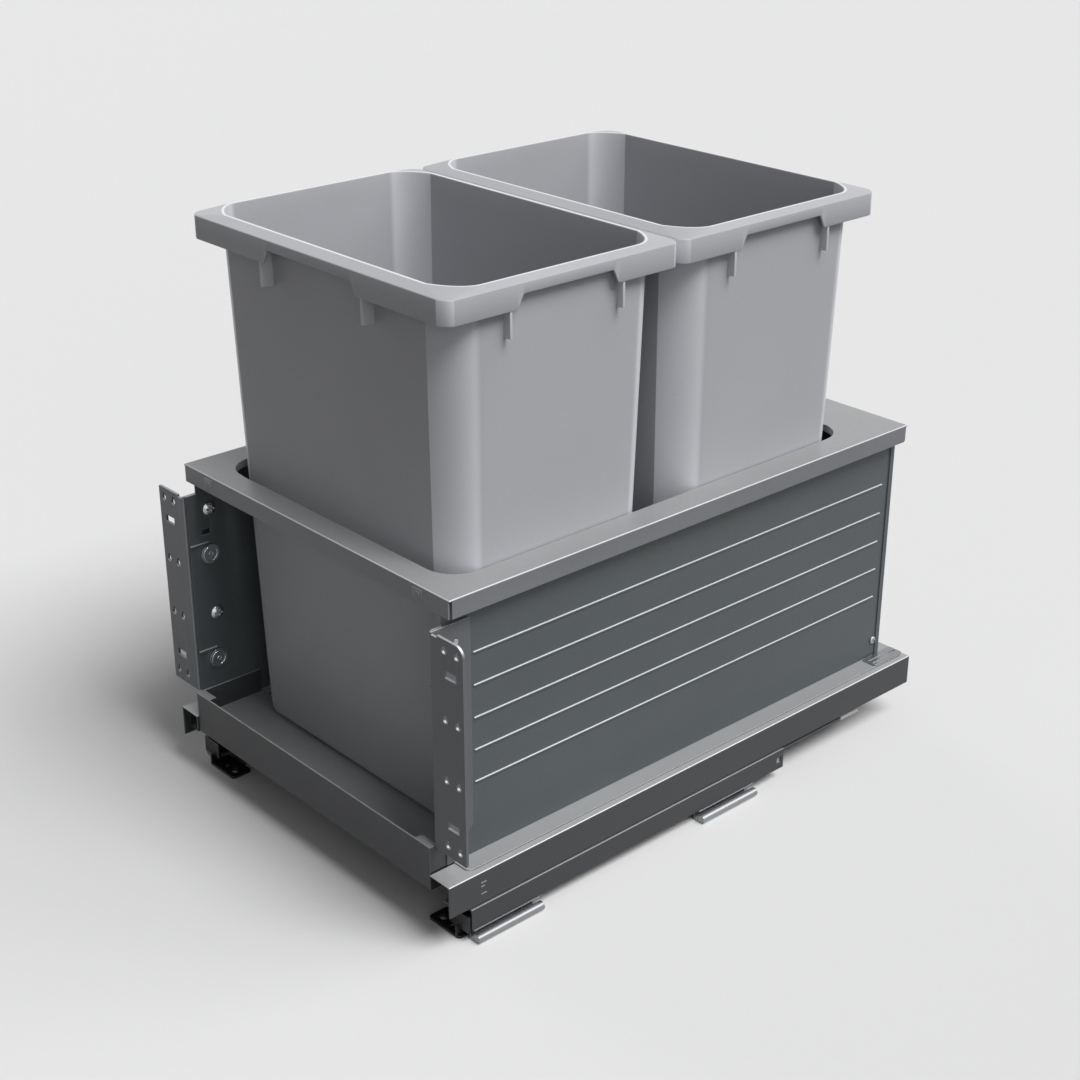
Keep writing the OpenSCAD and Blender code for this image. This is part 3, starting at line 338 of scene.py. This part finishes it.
# Places of the ring's points beside a grip's end, outwards from it
GRIP_STOPS = (2.4, 1.2, 0.4, -0.4, -1.4, -3, -4.6, -5.6, -6.4, -7.2, -8.4, -20, -34)
# Bends from the wall to the rim's underside, and from there down to the skirt's inside
UNDER_BEND = {"reach": 1.5, "middle": 0.4}
SKIRT_BEND = {"in": 1.5, "corner": 0.5, "above": 0.4, "below": 1.2}
# Steps of the skirt's lower edge, as inset from its face and height above its lowest line
SKIRT_EDGE = ((0, 0.7), (0.25, 0.15), (0.8, 0))
# Steps of the rim's outer edge, as inset from its outside and height above the edge
RIM_EDGE = ((0, -0.7), (0.1, -0.3), (0.35, 0), (0.8, 0.2))
# Steps of the ring round the mouth, as distance out from it and drop from the bin's top
MOUTH_EDGE = ((3.2, 0.3), (2.7, 0.06), (2.2, 0), (0.8, 0), (0.4, 0.1), (0.1, 0.4), (0, 1.0))
# A rib's thickness, ends short of the rim's face, drop below the skirt, place outside the grip,
# rise of its lower edge, root in the wall, top below the bin's top and easing
RIB = {"wide": 2, "inset": 0.7, "drop": 19, "outside": 5.5, "rise": 0.8, "root": 1, "top": 4,
       "ease": 0.25}
# The angle at which a corner meets the front or back wall
CREASE = math.radians(35)
CORNER_STEPS = 12
BIN_SMOOTH_BELOW = math.radians(30)


def body_half(z, inset=0.0):
    """Half width, half length and corner radius of the tub's outside at a height."""
    lost = DRAFT * (BIN_H - z) / BIN_H
    return (MOUTH[0] + WALL - lost - inset, MOUTH[1] + WALL - lost - inset,
            BODY_CORNER - inset - lost * CORNER_DRAFT)


def side_stops(axis, end):
    """Places along a side where the ring has points: its ends, and many at a grip's ends."""
    beside = [GRIP_HALF[axis] + stop for stop in GRIP_STOPS]
    positive = [end] + [s for s in beside if s <= end]
    return [-s for s in positive] + [0.0] + positive[::-1]


def corner_shares():
    """Shares of a corner's radius that its points lie out along x and in along y, from the
    front or back wall, which it meets at a crease, to the side wall, which it meets smoothly."""
    shares = []
    for i in range(1, CORNER_STEPS):
        t = CREASE + (math.pi / 2 - CREASE) * i / CORNER_STEPS
        shares.append(((math.sin(t) - math.sin(CREASE)) / (1 - math.sin(CREASE)),
                       1 - math.cos(t) / math.cos(CREASE)))
    return shares


def ring_points(half_w, half_len, corner):
    """Points round a rounded rectangle as (x, y, side axis or None, place along the side,
    whether it is at a crease)."""
    points = []
    ex, ey = half_w - corner, half_len - corner
    shares = corner_shares()
    for sign in (-1, 1):
        points += [(-sign * s, sign * half_len, "x", s, abs(s) == ex) for s in side_stops("x", ex)]
        points += [(-sign * (ex + corner * out), sign * (half_len - corner * back), None, 0, False)
                   for out, back in shares]
        points += [(-sign * half_w, -sign * s, "y", s, False) for s in side_stops("y", ey)]
        points += [(-sign * (ex + corner * out), -sign * (half_len - corner * back), None, 0, False)
                   for out, back in shares[::-1]]
    return points


def grip_lift(axis, s):
    """Height of the skirt's lower edge above its lowest line, with eased corners."""
    if axis is None:
        return 0.0
    t = (GRIP_HALF[axis] + GRIP_EASE - abs(s)) / (GRIP_SLANT + 2 * GRIP_EASE)
    t = min(1.0, max(0.0, t))
    eased = t * t * (3 - 2 * t)
    return GRIP_H * (GRIP_STRAIGHT * t + (1 - GRIP_STRAIGHT) * eased)


def inset_ring(size, corner, inset, z, share=0):
    """A ring that lies an inset within a half width, half length and corner, at a height."""
    return (size[0] - inset, size[1] - inset, corner - inset, z, share)


def foot_bend(z, inset, radius):
    """Rings round the tub's foot, a quarter turn from its wall down to a floor at a height."""
    size = body_half(z, inset)
    for i in range(FOOT_STEPS + 1):
        t = math.pi / 2 * i / FOOT_STEPS
        height = z + radius * (1 - math.sin(t))
        yield inset_ring(size, size[2], radius * (1 - math.cos(t)), height)


def bin_rings():
    """The bin's profile from its floor up outside, over the rim and down inside, as
    (half width, half length, corner radius, height, share of the grip's lift)."""
    rings = list(foot_bend(0, 0, FOOT))[::-1]
    under = BIN_H - WALL
    reach, middle = UNDER_BEND["reach"], UNDER_BEND["middle"]
    for z in (*WALL_HEIGHTS, under - reach):
        rings.append((*body_half(z), z, 0))
    w, l, r = body_half(under)
    rings.append((w + middle, l + middle, r, under - middle, 0))
    rings.append((w + reach, l + reach, r, under, 0))
    inside = (RIM[0] - WALL, RIM[1] - WALL)
    inside_corner = RIM_CORNER - WALL
    edge = under - RIM_DROP
    rings.append((inside[0] - SKIRT_BEND["in"], inside[1] - SKIRT_BEND["in"],
                  inside_corner - SKIRT_BEND["corner"], edge + SKIRT_BEND["above"], 0))
    rings.append(inset_ring(inside, inside_corner, 0, edge - SKIRT_BEND["below"]))
    skirt = BIN_H - SKIRT_H
    for inset, lift in SKIRT_EDGE:
        rings.append(inset_ring(inside, inside_corner, -inset, skirt + lift, 1))
    for inset, lift in SKIRT_EDGE[::-1]:
        rings.append(inset_ring(RIM, RIM_CORNER, inset, skirt + lift, 1))
    for inset, lift in RIM_EDGE:
        rings.append(inset_ring(RIM, RIM_CORNER, inset, BIN_H - RIM_DROP + lift))
    for out, drop in MOUTH_EDGE:
        rings.append(inset_ring(MOUTH, BODY_CORNER - WALL, -out, BIN_H - drop))
    for z in WALL_HEIGHTS[::-1]:
        rings.append((*body_half(z, WALL), z, 0))
    rings += foot_bend(WALL, WALL, FOOT - WALL)
    return rings


def fin(bm, axis, along, reach, heights):
    """A thin upright rib, set at a place along an axis, that reaches out from the wall and
    whose lower edge rises outwards."""
    half = RIB["wide"] / 2
    outline = [(reach[0], heights[0]), (reach[1], heights[0] + RIB["rise"]),
               (reach[1], heights[1]), (reach[0], heights[1])]
    faces = []
    for side in (-half, half):
        corners = [(along + side, r, z) if axis == "x" else (r, along + side, z)
                   for r, z in outline]
        faces.append([bm.verts.new(Vector(c) * MM) for c in corners])
    made = [bm.faces.new(faces[0]), bm.faces.new(faces[1][::-1])]
    for i in range(4):
        j = (i + 1) % 4
        made.append(bm.faces.new((faces[0][i], faces[1][i], faces[1][j], faces[0][j])))
    bmesh.ops.recalc_face_normals(bm, faces=made)
    ease_edges(bm, {edge for face in made for edge in face.edges}, RIB["ease"])


def build_tub(name, y, floor_z):
    """The tub with its rim and skirt, lofted through the rings."""
    bm = bmesh.new()
    loops = []
    for w, l, r, z, share in bin_rings():
        points = ring_points(w, l, r)
        loops.append([
            bm.verts.new(Vector((px, y + py, floor_z + z + share * grip_lift(axis, s))) * MM)
            for px, py, axis, s, _ in points
        ])
    creased = [i for i, point in enumerate(points) if point[4]]
    for low, high in zip(loops, loops[1:]):
        n = len(low)
        for i in range(n):
            bm.faces.new((low[i], low[(i + 1) % n], high[(i + 1) % n], high[i]))
        for i in creased:
            bm.edges.get((low[i], high[i])).smooth = False
    bm.faces.new(loops[0][::-1])
    bm.faces.new(loops[-1])
    bmesh.ops.recalc_face_normals(bm, faces=bm.faces)
    tub = add_object(name + "_tub", bm, "bin_plastic", name, sharp=BIN_SMOOTH_BELOW)
    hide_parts(name)


def build_ribs(name, y, floor_z):
    """The thin ribs beside the grips, four on the front and back and four on the sides."""
    bm = bmesh.new()
    foot_z = BIN_H - SKIRT_H - RIB["drop"]
    heights = (floor_z + foot_z, floor_z + BIN_H - RIB["top"])
    w, l, _ = body_half(foot_z)
    for sx in (-1, 1):
        for sy in (-1, 1):
            reach = (y + sy * (l - RIB["root"]), y + sy * (RIM[1] - RIB["inset"]))
            fin(bm, "x", sx * (GRIP_HALF["x"] + RIB["outside"]), reach, heights)
            reach = (sx * (w - RIB["root"]), sx * (RIM[0] - RIB["inset"]))
            fin(bm, "y", y + sy * (GRIP_HALF["y"] + RIB["outside"]), reach, heights)
    # The ribs take the paler rib finish: painted light
    add_object(name + "_ribs", bm, "bin_plastic", name, finish="rib_plastic_painted_light")


for bin_name in BINS:
    low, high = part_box(bin_name)
    middle_y, floor_z = (low.y + high.y) / 2 / MM, low.z / MM
    build_tub(bin_name, middle_y, floor_z)
    build_ribs(bin_name, middle_y, floor_z)


# Sheet metal, runners and fixings, in millimetres

CUT_EDGE = 0.18
# A fold is longer than this, and both its faces are wider than this
FOLD_LENGTH = 12
FACE_WIDTH = 2.2
FOLD_RADII = {"top_frame": 1.0, "front_lip": 0.7, "rear_panel": 0.7, "base_plate": 0.0}
for side, _ in SIDES:
    for part, radius in (("side_panel", 0.8), ("rail_cover", 1.0), ("front_bracket", 1.0),
                         ("drawer_rail", 0.8), ("cabinet_rail", 0.8), ("middle_rail", 0.8)):
        FOLD_RADII[side + "_" + part] = radius
EASED_FROM = math.radians(40)
FLAT_WITHIN = math.radians(0.4)
# In metres, as a mesh tool takes it
WELD = 2e-6


def clean_copy(node):
    """A bmesh of a CAD node's solids with its flat faces whole again."""
    bm = bmesh.new()
    bm.from_mesh(frame["nodes"][node].data)
    bmesh.ops.remove_doubles(bm, verts=bm.verts, dist=WELD)
    bmesh.ops.dissolve_limit(bm, angle_limit=FLAT_WITHIN, verts=bm.verts, edges=bm.edges)
    bmesh.ops.recalc_face_normals(bm, faces=bm.faces)
    return bm


def is_fold(edge):
    """Whether a sharp edge is a bend in a sheet: long, convex and between two wide faces."""
    width = min(face.calc_area() / max(face.calc_perimeter() / 2, 1e-9)
                for face in edge.link_faces)
    return edge.is_convex and edge.calc_length() > FOLD_LENGTH * MM and width > FACE_WIDTH * MM


def dress(node, fold_edge, segments):
    """Stands for a CAD node with the same solids, whose cut edges are eased and whose folds
    have their bending radius, in millimetres."""
    bm = clean_copy(node)
    layer = bm.edges.layers.float.new("bevel_weight_edge")
    widest = max(CUT_EDGE, fold_edge)
    for edge in bm.edges:
        if len(edge.link_faces) == 2 and edge.calc_face_angle(0) >= EASED_FROM:
            edge[layer] = 1.0 if fold_edge and is_fold(edge) else CUT_EDGE / widest
    obj = add_object(node + "_dressed", bm, slot_of[node], body_of[node],
                     finish=FINISH.get(node))
    bevel = obj.modifiers.new("edges", "BEVEL")
    bevel.width = widest * MM
    bevel.segments = segments
    bevel.limit_method = "WEIGHT"
    bevel.harden_normals = True
    bevel.use_clamp_overlap = False
    bevel.loop_slide = False
    bevel.miter_outer = "MITER_ARC"
    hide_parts(node)


for node in frame["nodes"]:
    if node not in BINS:
        dress(node, FOLD_RADII.get(node, 0.0), 3 if node in FOLD_RADII else 2)


# Small details, in millimetres

# Profiles of an adjuster's ring and pin, as radius and distance out from its head's face
CAM_RING = ((5.4, -0.2), (5.4, 0.25), (5.6, 0.45), (6.2, 0.45), (6.4, 0.25), (6.4, -0.2),
            (5.4, -0.2))
CAM_PIN = ((0, -1.9), (1.1, -1.9), (1.1, -0.5), (0.8, -0.2), (0, -0.1))
CAM_PIN_STEPS = 24
# The raised block round a frame rivet: its halves, how far it stands out and how deep it sits
BOSS = {"half_w": 5, "half_h": 4.4, "out": 0.35, "deep": 0.6, "ease": 0.3}
RIVET_HEAD_R = 2.56
# The black strip in a side panel's gauge window, whose depths are from the panel's face
GAUGE = {"y": (-231.9, -225.3), "z": (206.1, 210.3), "depths": (1.6, 0.1), "ease": 0.2}
# The raised marks on a rail cover, as height and length
MARKS = ((46, 5), (43, 3.5), (37, 5))
MARK = {"y": -222, "half_h": 0.5, "deep": 0.6, "out": 0.25, "ease": 0.2}


def outer_face(node, s):
    """Place along x of a node's outermost face on one side."""
    low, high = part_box(node)
    return s * max(abs(low.x), abs(high.x)) / MM


def add_cam_details(cam, s, face_x):
    """The bright ring and the centre pin on an adjuster's head."""
    low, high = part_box(cam)
    centre = (face_x, (low.y + high.y) / 2 / MM, (low.z + high.z) / 2 / MM)
    bm = bmesh.new()
    lathe(bm, centre, (-s, 0, 0), CAM_RING)
    add_object(cam + "_ring", bm, "bright_screw", cam)
    bm = bmesh.new()
    lathe(bm, centre, (-s, 0, 0), CAM_PIN, CAM_PIN_STEPS)
    add_object(cam + "_pin", bm, "bright_screw", cam)


for side, s in SIDES:
    low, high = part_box(side + "_upper_cam")
    face_x = (low.x if s > 0 else high.x) / MM
    for height in ("_upper", "_lower"):
        add_cam_details(side + height + "_cam", s, face_x)

    low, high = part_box("frame_rivets")
    rivet_x = outer_face("frame_rivets", s) - s * RIVET_HEAD_R
    rivet_z = (low.z + high.z) / 2 / MM
    frame_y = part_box("top_frame")[0].y / MM
    bm = bmesh.new()
    block(bm, (rivet_x - BOSS["half_w"], frame_y - BOSS["out"], rivet_z - BOSS["half_h"]),
          (rivet_x + BOSS["half_w"], frame_y + BOSS["deep"], rivet_z + BOSS["half_h"]), BOSS["ease"])
    add_object(side + "_frame_boss", bm, "silver_coat", "pull_out")

    panel_x = outer_face(side + "_side_panel", s)
    xs = sorted(panel_x - s * depth for depth in GAUGE["depths"])
    bm = bmesh.new()
    block(bm, (xs[0], GAUGE["y"][0], GAUGE["z"][0]),
          (xs[1], GAUGE["y"][1], GAUGE["z"][1]), GAUGE["ease"])
    add_object(side + "_gauge_insert", bm, "black_foot", "pull_out")

    cover_x = outer_face(side + "_rail_cover", s)
    xs = sorted((cover_x - s * MARK["deep"], cover_x + s * MARK["out"]))
    bm = bmesh.new()
    for z, length in MARKS:
        block(bm, (xs[0], MARK["y"], z - MARK["half_h"]),
              (xs[1], MARK["y"] + length, z + MARK["half_h"]), MARK["ease"])
    add_object(side + "_cover_marks", bm, "silver_coat", "pull_out")


# Floor, lights, world and camera

# Greys of the floor and strengths of the world, as they light the object and as they are seen
FLOOR_GREYS = (0.1, 0.79)
WORLD_STRENGTHS = (0.1, 0.84)
# In metres
FLOOR_HALF = 40


def seen(tree):
    """1 for the rays that show the surroundings themselves or in a reflection, else 0."""
    path = tree.nodes.new("ShaderNodeLightPath")
    total = path.outputs["Is Camera Ray"]
    for kind in ("Is Glossy Ray", "Is Transmission Ray"):
        total = calculate(tree, "ADD", total, path.outputs[kind], clamp=True)
    return total


def floor_material():
    """A plain matt floor that is pale where it is seen and dark where it would light the object."""
    material, tree, shader = node_material("pale_floor")
    shade = remap(tree, seen(tree), (0, 1), FLOOR_GREYS)
    tint = tree.nodes.new("ShaderNodeCombineColor")
    for channel in ("Red", "Green", "Blue"):
        tree.links.new(shade, tint.inputs[channel])
    tree.links.new(tint.outputs["Color"], shader.inputs["Base Color"])
    shader.inputs["Roughness"].default_value = 0.9
    shader.inputs["Specular IOR Level"].default_value = 0.1
    return material


floor_mesh = bpy.data.meshes.new("floor")
bm = bmesh.new()
bmesh.ops.create_grid(bm, x_segments=8, y_segments=8, size=FLOOR_HALF)
bm.to_mesh(floor_mesh)
bm.free()
floor_mesh.materials.append(floor_material())
floor = bpy.data.objects.new("floor", floor_mesh)
bpy.context.scene.collection.objects.link(floor)
floor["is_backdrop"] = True


def facing(azimuth, elevation):
    """The direction out from the object, with azimuth 0 to the door side and 90 to +X."""
    a, e = math.radians(azimuth), math.radians(elevation)
    return Vector((math.sin(a) * math.cos(e), -math.cos(a) * math.cos(e), math.sin(e)))


def aim(obj, azimuth, elevation):
    """Turns a lamp or camera to look at the object from a direction."""
    obj.rotation_mode = "QUATERNION"
    obj.rotation_quaternion = (-facing(azimuth, elevation)).to_track_quat("-Z", "Y")
    bpy.context.scene.collection.objects.link(obj)


def soft_sun(name, azimuth, elevation, width, strength):
    """A far, large and soft lamp."""
    data = bpy.data.lights.new(name, "SUN")
    data.energy = strength
    data.angle = math.radians(width)
    aim(bpy.data.objects.new(name, data), azimuth, elevation)


soft_sun("right_lamp", 99, 57, 30, 2.45)
soft_sun("back_right_lamp", 142, 42, 40, 0.8)
soft_sun("left_lamp", -92, 16, 44, 0.6)
soft_sun("front_right_lamp", 62, 18, 40, 0.3)

world = bpy.data.worlds.new("studio")
bpy.context.scene.world = world
world.use_nodes = True
tree = world.node_tree
background = tree.nodes["Background"]
background.inputs["Color"].default_value = (0.985, 0.99, 1.0, 1)
tree.links.new(remap(tree, seen(tree), (0, 1), WORLD_STRENGTHS), background.inputs["Strength"])

# The camera is the one fitted to the photograph's measured points
lens = bpy.data.cameras.new("camera")
lens.sensor_width = 36
lens.lens = 61.9
lens.clip_start = 0.05
lens.clip_end = 60
camera = bpy.data.objects.new("camera", lens)
camera.location = (0.9850, -0.9035, 0.7901)
aim(camera, 48.0, 24.5)
bpy.context.scene.camera = camera

bpy.context.scene.view_settings.view_transform = "Standard"

low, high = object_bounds()
